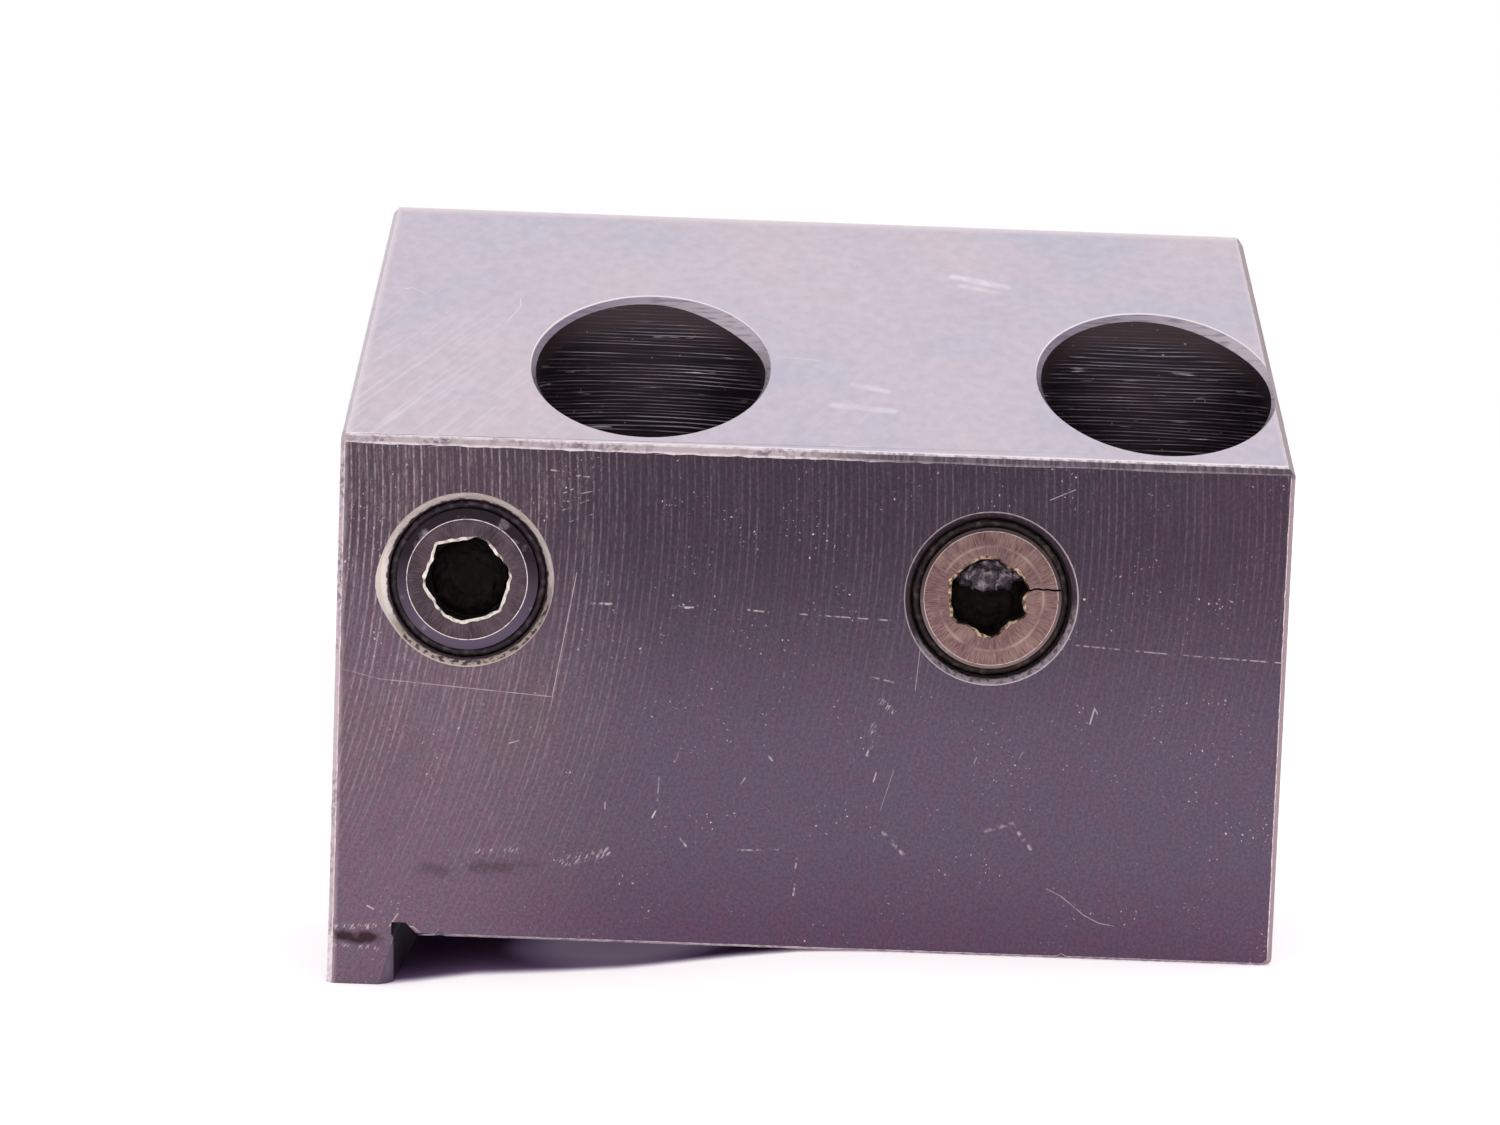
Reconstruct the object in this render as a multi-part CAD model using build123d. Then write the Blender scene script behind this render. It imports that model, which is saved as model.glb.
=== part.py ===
from build123d import *
from math import cos, radians, sin, tan
import os

# Boring bar holder: one machined steel block with two upright bores for round bars, a top that
# slopes up to the back and a locating lip under the left end. Beside each bore a cross hole runs
# from the front face to the back. It holds a cotter clamp: a socket head screw, a front cotter
# under the screw's head and a tapped rear cotter. Turning the screw draws the two cotters
# together, and their saddles grip the side of the bar.
# Frame in millimetres: X to the right along the width, Y from the front face to the back,
# Z up along the bores. The origin is under the middle of the block, level with the lip's foot.

# Block
block_width = 120.0
block_depth = 53.0
front_height = 63.0         # seat face to the front edge of the sloping top
top_slope = 30.0            # degrees
lip_width = 8.4
lip_height = 6.5            # how far the lip stands below the seat face
edge_break = 0.7
slope_side_break = 1.0      # the slope's right edge is ground wider than the others
foot_break = 0.3

# Relief groove in the corner between lip and seat
relief_undercut = 0.3       # into the lip's wall
relief_roof = 1.5
relief_height = 1.6

# Hand ground corner on the lip: it runs out upwards
lip_grind_width = 1.8       # across the front face at the foot
lip_grind_depth = 1.5       # back along the lip's inner wall at the foot
lip_grind_rise = 6.0

# Bores
bore_diameter = 30.0
bore_spacing = 66.0
bore_right_offset = 15.9    # axis of the right bore from the right side
bore_front_offset = 17.5    # axes of the bores behind the front face
mouth_break_side = 0.75     # widening of the mouth's broken edge along the width
mouth_break_slope = 0.6     # widening up and down the slope
mouth_break_depth = 0.8
bore_foot_break = 0.5

# Cross holes, one to the left of each bore
cross_hole_height = 45.5    # above the seat face
shank_to_bar = 0.7          # between the screw's shank and the bore's wall
head_clearance = 1.1        # radial, head in the cross hole
countersink_width = 1.0     # radial
cross_hole_back_break = 0.5

# Clamp screws
thread_diameter = 12.0
screw_length = 40.0         # under the head
tip_break = 1.1
head_diameter = 17.8
head_height = 7.5
head_setback = 0.4          # face of the head behind the front face of the block
socket_across_flats = 10.0
socket_depth = 5.0
socket_mouth_break = 0.5    # radial
socket_point_angle = 59.0   # degrees, half angle of the drilled cone at the socket's bottom
left_rim_taper = 1.25       # radial width of the tapered rim round the head's face
left_socket_turn = 13.0     # degrees, one corner of the hexagon from the right
right_rim_taper = 0.4
right_socket_turn = 30.0
right_socket_wear = 1.5     # radius of the corners rounded by a slipping key

# Crack through the rim of the right head: sideways and upwards from the screw's axis
crack_path = ((4.6, 1.3), (5.9, 1.35), (6.9, 1.15), (7.5, 1.4))
crack_exit = 1.3            # upwards, just past the rim
crack_exit_run = 0.6
crack_width = 0.22
crack_depth = 4.2

# Cotters
cotter_clearance = 0.04     # radial, in the cross hole
saddle_clearance = 0.05     # released saddle outside the bore's wall
cotter_gap = 3.0            # between the two cotters when released
cotter_back_setback = 1.5   # rear cotter inside the back face of the block
cotter_break = 0.6
shank_clearance = 0.25      # radial, screw in the front cotter
thread_clearance = 0.05     # radial, screw in the rear cotter

# Chips out of the front lower edge: place from the left side, width, height
edge_chips = ((14.2, 2.2, 0.9), (93.2, 1.9, 0.7))
corner_chip = 1.5           # broken corner, lower right at the front

left_side = -block_width / 2
right_side = block_width / 2
front_face = -block_depth / 2
back_face = block_depth / 2
slope_rise = tan(radians(top_slope))
seat_level = lip_height
front_top = seat_level + front_height
back_top = front_top + block_depth * slope_rise
lip_wall = left_side + lip_width
bore_radius = bore_diameter / 2
bore_row = front_face + bore_front_offset
right_bore = right_side - bore_right_offset
left_bore = right_bore - bore_spacing
cross_hole_level = seat_level + cross_hole_height
cross_hole_radius = head_diameter / 2 + head_clearance
thread_radius = thread_diameter / 2
cross_hole_offset = bore_radius + thread_radius + shank_to_bar
head_seat = front_face + head_setback + head_height
overrun = 5.0               # how far a cutting shape passes the face that it cuts
from_start = (Align.CENTER, Align.CENTER, Align.MIN)


def across_depth(x, y, z):
    """The plane across the depth at a point, with its normal to the back and its x axis to the right."""
    return Plane(origin=(x, y, z), x_dir=(1, 0, 0), z_dir=(0, 1, 0))


def round_bar(x, y, z, radius, length):
    """A round bar that runs to the back from y."""
    return across_depth(x, y, z) * Cylinder(radius, length, align=from_start)


def tapered_bar(x, y, z, start_radius, end_radius, length):
    """A cone's frustum that runs to the back from y."""
    return across_depth(x, y, z) * Cone(start_radius, end_radius, length, align=from_start)


def pointed_chip(foot, peak):
    """The three sided pyramid over a triangle, for a broken or ground corner."""
    return loft([make_face(Polyline(*foot, close=True)), Vertex(*peak)])


def front_outline():
    """The block seen from the front: sides, seat, lip and relief groove."""
    roof_level = seat_level + relief_height
    relief_wall = lip_wall - relief_undercut
    relief_corner = lip_wall + relief_roof
    outline = Polyline(
        (left_side, 0),
        (lip_wall, 0),
        (lip_wall, seat_level - relief_undercut),
        (relief_wall, seat_level),
        (relief_wall, roof_level),
        (relief_corner, roof_level),
        (relief_corner + relief_height, seat_level),
        (right_side, seat_level),
        (right_side, back_top),
        (left_side, back_top),
        close=True,
    )
    return Plane.XZ * make_face(outline)


def side_outline():
    """The block seen from the side: upright front and back, sloping top."""
    outline = Polyline(
        (front_face, 0),
        (back_face, 0),
        (back_face, back_top),
        (front_face, front_top),
        close=True,
    )
    return Plane.YZ * make_face(outline)


def lies_at(edge, axis, value):
    """Whether both ends of an edge have this coordinate."""
    return all(abs(getattr(end, axis) - value) < 0.001 for end in edge.vertices())


def outer_edges(body):
    """The upright corners of the block and the slope's front, back and left edges."""
    chosen = []
    for edge in body.edges():
        rise = abs(edge.tangent_at(0.5).Z)
        upright = rise > 0.99 and edge.length > front_height / 2
        slope_left = 0.1 < rise < 0.99 and lies_at(edge, "X", left_side)
        if upright or slope_left or lies_at(edge, "Z", front_top) or lies_at(edge, "Z", back_top):
            chosen.append(edge)
    return chosen


def foot_edges(body):
    """The lower edges of the seat face: front, back and right."""
    return [
        edge for edge in body.edges()
        if lies_at(edge, "Z", seat_level) and (
            lies_at(edge, "Y", front_face)
            or lies_at(edge, "Y", back_face)
            or lies_at(edge, "X", right_side)
        )
    ]


def mouth_cut(x):
    """The broken edge of a bore's mouth on the slope: a funnel over the mouth's ellipse."""
    level = front_top + bore_front_offset * slope_rise
    slope_radius = bore_radius / cos(radians(top_slope))

    def ring(step):
        """The funnel's section, below the slope for a step of -1 and as far above it for 1."""
        place = Plane(
            origin=(x, bore_row, level + step * mouth_break_depth),
            x_dir=(1, 0, 0),
            z_dir=(0, -sin(radians(top_slope)), cos(radians(top_slope))),
        )
        widening = 1 + step
        return place * Ellipse(
            bore_radius + widening * mouth_break_side, slope_radius + widening * mouth_break_slope
        )

    return loft([ring(-1), ring(1)], ruled=True)


def slope_side_wedge():
    """The three sided prism that grinds the slope's right edge off at 45 degrees."""
    along = cos(radians(top_slope))
    lean = sin(radians(top_slope))
    start = front_face - overrun
    start_level = front_top - overrun * slope_rise

    def corner(outward, above):
        """A corner of the prism's end, measured from the edge: away from the side and off the slope."""
        return (right_side + outward, start - above * lean, start_level + above * along)

    end = make_face(
        Polyline(
            corner(-slope_side_break - overrun, overrun),
            corner(overrun, overrun),
            corner(overrun, -slope_side_break - overrun),
            close=True,
        )
    )
    return extrude(end, amount=(block_depth + 2 * overrun) / along, dir=(0, along, lean))


def bore_cut(x):
    """A bore with its broken lower edge."""
    start = Pos(x, bore_row, seat_level)
    bore = start * Pos(0, 0, -overrun) * Cylinder(bore_radius, back_top, align=from_start)
    flare = Cone(bore_radius + bore_foot_break, bore_radius, bore_foot_break, align=from_start)
    return bore + start * flare


def cross_hole_cut(x):
    """A cross hole with its countersink at the front and its broken edge at the back."""
    back_start = back_face - cross_hole_back_break
    back_radius = cross_hole_radius + cross_hole_back_break
    hole = round_bar(
        x, front_face - overrun, cross_hole_level, cross_hole_radius, block_depth + 2 * overrun
    )
    hole += tapered_bar(
        x, front_face, cross_hole_level,
        cross_hole_radius + countersink_width, cross_hole_radius, countersink_width,
    )
    hole += tapered_bar(
        x, back_start, cross_hole_level, cross_hole_radius, back_radius, cross_hole_back_break
    )
    return hole


def lip_grind():
    """What is ground off the lip's inner corner at the front, widest at the foot."""
    foot = (
        (lip_wall - lip_grind_width, front_face, 0),
        (lip_wall, front_face, 0),
        (lip_wall, front_face + lip_grind_depth, 0),
    )
    return pointed_chip(foot, (lip_wall, front_face, lip_grind_rise))


def edge_chip(place, width, height):
    """A chip out of the front lower edge."""
    x = left_side + place
    foot = (
        (x - width / 2, front_face, seat_level),
        (x + width / 2, front_face, seat_level),
        (x, front_face, seat_level + height),
    )
    return pointed_chip(foot, (x, front_face + height, seat_level))


def broken_corner():
    """The broken lower corner, right at the front."""
    foot = (
        (right_side - corner_chip, front_face, seat_level),
        (right_side, front_face, seat_level),
        (right_side, front_face + corner_chip, seat_level),
    )
    return pointed_chip(foot, (right_side, front_face, seat_level + corner_chip))


def make_block():
    """The machined block."""
    body = extrude(front_outline(), amount=block_depth / 2, both=True)
    body &= extrude(side_outline(), amount=block_width / 2, both=True)
    body = chamfer(outer_edges(body), edge_break)
    body = chamfer(foot_edges(body), foot_break)
    body -= slope_side_wedge()
    for x in (left_bore, right_bore):
        body -= bore_cut(x)
        body -= mouth_cut(x)
        body -= cross_hole_cut(x - cross_hole_offset)
    body -= lip_grind()
    for place, width, height in edge_chips:
        body -= edge_chip(place, width, height)
    body -= broken_corner()
    return body


def key_socket(x, turn, wear):
    """The hexagon socket: worn corners if wear is not nothing, a broken mouth and a drilled bottom."""
    face = front_face + head_setback
    hexagon = RegularPolygon(socket_across_flats / 2, 6, major_radius=False, rotation=turn)
    if wear > 0:
        hexagon = fillet(hexagon.vertices(), wear)
    hexagon = Pos(x, face, cross_hole_level) * (Plane.XZ * hexagon)
    socket = extrude(hexagon, amount=socket_depth, dir=(0, 1, 0))
    flat_radius = socket_across_flats / 2
    socket += tapered_bar(
        x, face, cross_hole_level, flat_radius + socket_mouth_break, flat_radius, socket_mouth_break
    )
    point = flat_radius / tan(radians(socket_point_angle))
    socket += tapered_bar(x, face + socket_depth, cross_hole_level, flat_radius, 0, point)
    return socket


def head_crack(x):
    """The narrow zigzag crack from the socket to the rim of the head."""
    path = [*crack_path, (head_diameter / 2 + crack_exit_run, crack_exit)]
    upper = [(side, up + crack_width / 2) for side, up in path]
    lower = [(side, up - crack_width / 2) for side, up in reversed(path)]
    outline = Plane.XZ * make_face(Polyline(*upper, *lower, close=True))
    place = Pos(x, front_face + head_setback, cross_hole_level)
    return extrude(place * outline, amount=crack_depth, dir=(0, 1, 0))


def make_screw(x, rim_taper, socket_turn, socket_wear):
    """A clamp screw with a low head: the head's face is just inside the front face of the block."""
    face = front_face + head_setback
    head = round_bar(x, face, cross_hole_level, head_diameter / 2, head_height)
    head = chamfer(head.edges().group_by(Axis.Y)[0], length=rim_taper / 2, length2=rim_taper)
    shank = round_bar(x, head_seat, cross_hole_level, thread_radius, screw_length)
    shank = chamfer(shank.edges().group_by(Axis.Y)[-1], tip_break)
    return head + shank - key_socket(x, socket_turn, socket_wear)


def cotter_blank(x, start, length, hole_clearance):
    """A turned sleeve that slides in the cross hole, with the screw's hole through it."""
    sleeve = round_bar(x, start, cross_hole_level, cross_hole_radius - cotter_clearance, length)
    sleeve = chamfer(sleeve.edges().filter_by(GeomType.CIRCLE), cotter_break)
    sleeve -= round_bar(x, start, cross_hole_level, thread_radius + hole_clearance, length)
    return chamfer(sleeve.edges().filter_by(GeomType.CIRCLE).group_by(SortBy.RADIUS)[0], cotter_break / 2)


def bar_saddle(x):
    """The bar's cylinder and a little more, which leaves the saddle in a cotter."""
    return Pos(x, bore_row, 0) * Cylinder(bore_radius + saddle_clearance, back_top, align=from_start)


def make_front_cotter(bore_x):
    """The sleeve under the screw's head, with a saddle for the front of the bar."""
    length = bore_row - cotter_gap / 2 - head_seat
    blank = cotter_blank(bore_x - cross_hole_offset, head_seat, length, shank_clearance)
    return blank - bar_saddle(bore_x)


def make_rear_cotter(bore_x):
    """The tapped sleeve behind the bar's axis, with a saddle for the back of the bar."""
    start = bore_row + cotter_gap / 2
    length = back_face - cotter_back_setback - start
    blank = cotter_blank(bore_x - cross_hole_offset, start, length, thread_clearance)
    return blank - bar_saddle(bore_x)


left_cross_hole = left_bore - cross_hole_offset
right_cross_hole = right_bore - cross_hole_offset
nodes = {
    "block": make_block(),
    "left_clamp_screw": make_screw(left_cross_hole, left_rim_taper, left_socket_turn, 0),
    "right_clamp_screw": make_screw(
        right_cross_hole, right_rim_taper, right_socket_turn, right_socket_wear
    ) - head_crack(right_cross_hole),
    "left_front_cotter": make_front_cotter(left_bore),
    "right_front_cotter": make_front_cotter(right_bore),
    "left_rear_cotter": make_rear_cotter(left_bore),
    "right_rear_cotter": make_rear_cotter(right_bore),
}

os.makedirs("parts", exist_ok=True)
for name, shape in nodes.items():
    shape.label = name
    export_step(shape, f"parts/{name}.step")
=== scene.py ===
import math
from functools import partial
import bpy
from mathutils import Matrix, Vector, noise


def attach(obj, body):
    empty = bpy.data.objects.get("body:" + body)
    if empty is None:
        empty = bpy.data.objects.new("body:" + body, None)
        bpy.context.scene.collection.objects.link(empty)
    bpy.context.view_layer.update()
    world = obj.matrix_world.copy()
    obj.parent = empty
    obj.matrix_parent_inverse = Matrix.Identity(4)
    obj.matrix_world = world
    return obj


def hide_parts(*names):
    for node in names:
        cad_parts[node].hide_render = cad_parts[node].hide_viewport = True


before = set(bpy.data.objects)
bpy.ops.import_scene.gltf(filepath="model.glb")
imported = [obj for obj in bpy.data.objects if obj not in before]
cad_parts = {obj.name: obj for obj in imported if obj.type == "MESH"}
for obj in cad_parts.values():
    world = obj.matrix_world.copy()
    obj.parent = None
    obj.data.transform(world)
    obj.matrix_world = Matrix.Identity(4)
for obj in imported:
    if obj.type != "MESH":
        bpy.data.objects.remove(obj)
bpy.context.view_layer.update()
print("stage: frame loaded")

# Metres. X to the right, Y from the front face to the back, Z up along the bores
blockSize = {
    "left": -0.060, "right": 0.060, "front": -0.0265, "back": 0.0265, "foot": 0.0, "seat": 0.0065,
    "frontTop": 0.0695, "slope": math.radians(30),
    "bores": (-0.0219, 0.0441), "boreRow": -0.009, "boreRadius": 0.015,
    "crossHoles": (-0.0436, 0.0224), "crossLevel": 0.052, "frontSplit": -0.014,
    "boreMouth": 0.0165, "crossMouth": 0.0115,  # radii that hold a mouth's faces
    "reliefSides": (-0.0535, -0.0475), "reliefTop": 0.0095,
}
lean = Vector((0, -math.sin(blockSize["slope"]), math.cos(blockSize["slope"])))
blockPlanes = {
    "front": (Vector((0, -1, 0)), -blockSize["front"]),
    "back": (Vector((0, 1, 0)), blockSize["back"]),
    "left": (Vector((-1, 0, 0)), -blockSize["left"]),
    "right": (Vector((1, 0, 0)), blockSize["right"]),
    "seat": (Vector((0, 0, -1)), -blockSize["seat"]),
    "foot": (Vector((0, 0, -1)), blockSize["foot"]),
    "slope": (lean, lean.dot(Vector((0, blockSize["front"], blockSize["frontTop"])))),
}


def srgb(code):
    channels = [int(code[i:i + 2], 16) / 255 for i in (1, 3, 5)]
    return (*[c / 12.92 if c <= 0.04045 else ((c + 0.055) / 1.055) ** 2.4 for c in channels], 1)


# Inputs go by name, or in the node's own order: a map range takes the value, the two ends that it
# runs between and, where they aren't 0 and 1, the two that it gives. An operation stands behind the kind
def addNode(tree, kind, inputs=(), output=0, **settings):
    kind, _, operation = kind.partition(" ")
    node = tree.nodes.new("ShaderNode" + kind)
    if operation:
        node.operation = operation
    for name, value in settings.items():
        setattr(node, name, value)
    for name, value in inputs.items() if isinstance(inputs, dict) else enumerate(inputs):
        if isinstance(value, bpy.types.NodeSocket):
            tree.links.new(value, node.inputs[name])
        else:
            node.inputs[name].default_value = value
    return node.outputs[output] if node.outputs else node


# Puts more than two values through the same kind of node, one after the other
def chain(add, kind, values, **settings):
    joined = values[0]
    for value in values[1:]:
        joined = add(kind, (joined, value), **settings)
    return joined


# Lays colours one over the other, each as thick as its mask, which may be given as a map range's inputs
def paintOver(add, colour, *coats):
    for mask, coat in coats:
        mask = add("MapRange", mask) if isinstance(mask, tuple) else mask
        coat = srgb(coat) if isinstance(coat, str) else coat
        colour = add("Mix", {0: mask, 6: colour, 7: coat}, 2, data_type="RGBA")
    return colour


# Noise, drawn out along the axes where its scale is three numbers
def grainOf(add, vector, scale, detail, **more):
    if isinstance(scale, tuple):
        vector, scale = add("Mapping", {"Vector": vector, "Scale": scale}), 1
    return add("TexNoise", {"Vector": vector, "Scale": scale, "Detail": detail, **more})


# Where noise passes from one value to another
def patches(add, vector, scale, detail, *ends):
    return add("MapRange", (grainOf(add, vector, scale, detail), *ends))


def startMaterial(name):
    material = bpy.data.materials.new(name)
    material.use_nodes = True
    material.node_tree.nodes.clear()
    add = partial(addNode, material.node_tree)
    position = add("TexCoord", output="Object")
    return material, add, position, *add("SeparateXYZ", (position,)).node.outputs


def closeMaterial(material, colour, roughness, height, depth, metallic, specular=0.5):
    add = partial(addNode, material.node_tree)
    bump = add("Bump", {"Height": height, "Strength": 0.7, "Distance": depth})
    shader = add("BsdfPrincipled", {
        "Base Color": colour, "Roughness": roughness, "Metallic": metallic, "Normal": bump,
        "Specular IOR Level": specular,
    })
    add("OutputMaterial", {"Surface": shader})
    return material


# 0 away from the line between two points, 1 on it
def scratchMask(add, position, start, end, width):
    along = Vector(end) - Vector(start)
    away = add("VectorMath SUBTRACT", (position, start))
    share = add("VectorMath DOT_PRODUCT", (away, along / along.length_squared), "Value")
    share = add("Math MULTIPLY", (share, 1), use_clamp=True)
    nearest = add("VectorMath SCALE", {0: along, "Scale": share})
    gap = add("VectorMath DISTANCE", (away, nearest), "Value")
    return add("MapRange", (gap, width, width * 0.3))


# 1 within a hair of one of the block's planes
def atPlane(add, position, name, hair):
    normal, offset = blockPlanes[name]
    level = add("VectorMath DOT_PRODUCT", (position, normal), "Value")
    return add("MapRange", (level, offset - hair, offset - hair * 0.6))


# Milled alloy steel, chemically blackened: dark purple grey, with the light arcs that the face mill left
milledLook = {
    "cutterRadius": 0.110, "cutterLevel": 0.0605, "feed": 0.00098,
    # upper, lower and foot differ partly as painted reflection: a dark room mirrored above, the pale table
    # mirrored below
    "upper": "#423643", "upperRight": "#4a3a4a", "lower": "#605264", "leftSide": "#6f5c6a",
    "brown": "#6d5d5c", "foot": "#705c6f", "footRight": "#5d4159", "rubbed": "#b3a0a6",
    "lines": "#ab979c", "specks": "#cbbebf", "stain": "#3a2a30",
    "warm": (1.035, 0.985, 0.990, 1), "cool": (0.965, 1.015, 1.012, 1),
}


def milledSteel(name, across, details):
    material, add, position, x, y, z = startMaterial(name)
    look = milledLook
    side, inward = (x, y) if across == "X" else (y, x)
    # distance across the face from the arc of the cutter's tooth, which leans more further down
    down = add("Math SUBTRACT", (z, look["cutterLevel"]))
    down = add("Math MULTIPLY", (down, down))
    arc = add("Math SUBTRACT", (look["cutterRadius"] ** 2, down))
    arc = add("Math SQRT", (arc,))
    phase = add("Math SUBTRACT", (side, arc))
    wave = add("Math MULTIPLY", (phase, 2 * math.pi / look["feed"]))
    wave = add("Math SINE", (wave,))
    wave = add("MapRange", (wave, 0.5, 1.0))
    flow = add("CombineXYZ", (phase, z, inward))
    lines = add("Math MULTIPLY", (wave, patches(add, flow, (420, 35, 60), 2, 0.25, 0.62)))
    fine = patches(add, flow, (3600, 220, 60), 2, 0.5, 0.8, 0, 0.6)
    lines = add("Math MAXIMUM", (lines, fine))
    grain = patches(add, flow, (4200, 1500, 60), 2, 0.3, 0.62)
    lines = add("Math MULTIPLY", (lines, grain))
    # painted reflection: darker at the top, where the face would mirror a dark room, and lighter towards
    # the foot, where it would mirror the pale table; lighter to the left as well
    height = add("MapRange", (z, 0.062, 0.030), interpolation_type="SMOOTHSTEP")
    toLeft = add("MapRange", (side, -0.020, -0.050), interpolation_type="SMOOTHSTEP")
    belowTop = add("MapRange", (height, 0, 1, 0.25, 0.95))
    toLeft = add("Math MULTIPLY", (toLeft, belowTop))
    cloud = grainOf(add, position, 55, 3)
    middle = add("MapRange", (z, 0.024, 0.036, 0.15, 0.85), interpolation_type="SMOOTHSTEP")
    brown = add("MapRange", (cloud, 0.40, 0.62))
    brown = chain(add, "Math MULTIPLY", (brown, toLeft, middle))
    colour = paintOver(
        add, srgb(look["upper"]), ((side, 0.030, 0.055), look["upperRight"]),
        (height, look["lower"]), (toLeft, look["leftSide"]), (brown, look["brown"]),
        (add("MapRange", (z, 0.020, 0.009, 0, 0.5)),
         paintOver(add, srgb(look["footRight"]), (toLeft, look["foot"]))),
    )
    # the oxide shimmers between reddish and bluish, a millimetre or two at a time
    shimmer = patches(add, flow, (700, 450, 60), 2, 0.42, 0.6)
    shimmer = paintOver(add, look["cool"], (shimmer, look["warm"]))
    pores = patches(add, position, 2600, 2, 0.35, 0.65, 0.86, 1.14)
    for tint in (shimmer, pores):
        colour = add("Mix", {0: 1, 6: colour, 7: tint}, 2, data_type="RGBA", blend_type="MULTIPLY")
    # the lines fade to the right and to the foot
    fadeDown = add("MapRange", (z, 0.020, 0.060, 0, 0.21))
    fadeSide = add("MapRange", (side, -0.015, -0.040))
    fadeLow = add("MapRange", (z, 0.012, 0.046, 0.18, 0.9))
    fadeSide = add("Math MULTIPLY", (fadeSide, fadeLow))
    fade = add("Math MAXIMUM", (fadeDown, fadeSide))
    shown = add("Math MULTIPLY", (lines, fade))
    colour = paintOver(add, colour, (shown, look["lines"]))
    # bright specks where the oxide is nicked
    grit = patches(add, position, 2300, 1, 0.685, 0.75)
    specks = add("Math MULTIPLY", (grit, patches(add, position, 140, 2, 0.5, 0.65)))
    even = patches(add, position, 500, 1, 0.35, 0.55, 0.5)
    dots = patches(add, position, 1500, 1, 0.42, 0.58)
    # a mapping node scales before it turns, so a slanted grain is turned by a node of its own
    slanted = add("Mapping", {"Vector": position, "Rotation": (0, math.radians(-30), 0)})
    ticks = patches(add, slanted, (5200, 60, 1300), 1, 0.55, 0.66)
    smear = patches(add, position, 420, 3, 0.35, 0.6)
    for kind, broken in (("scratched", even), ("dotted", dots), ("ticked", ticks), ("stained", smear)):
        for x0, z0, x1, z1, width, share in details.get(kind, ()):
            ends = [(x / 1000, blockSize["front"], z / 1000) for x, z in ((x0, z0), (x1, z1))]
            mark = scratchMask(add, position, *ends, width / 1000)
            mark = chain(add, "Math MULTIPLY", (mark, share, broken))
            if kind == "stained":
                colour = paintOver(add, colour, (mark, look["stain"]))
            else:
                specks = add("Math MAXIMUM", (specks, mark))
    # a strip along the left edge is rubbed pale
    strip = add("MapRange", (side, -0.0587, -0.0595))
    strip = add("Math MULTIPLY", (strip, even))
    colour = paintOver(add, colour, (specks, look["specks"]), (strip, look["rubbed"]))
    roughness = add("MapRange", (cloud, 0, 1, 0.34, 0.48))
    return closeMaterial(material, colour, roughness, lines, 0.00004, 0.9)


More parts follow.
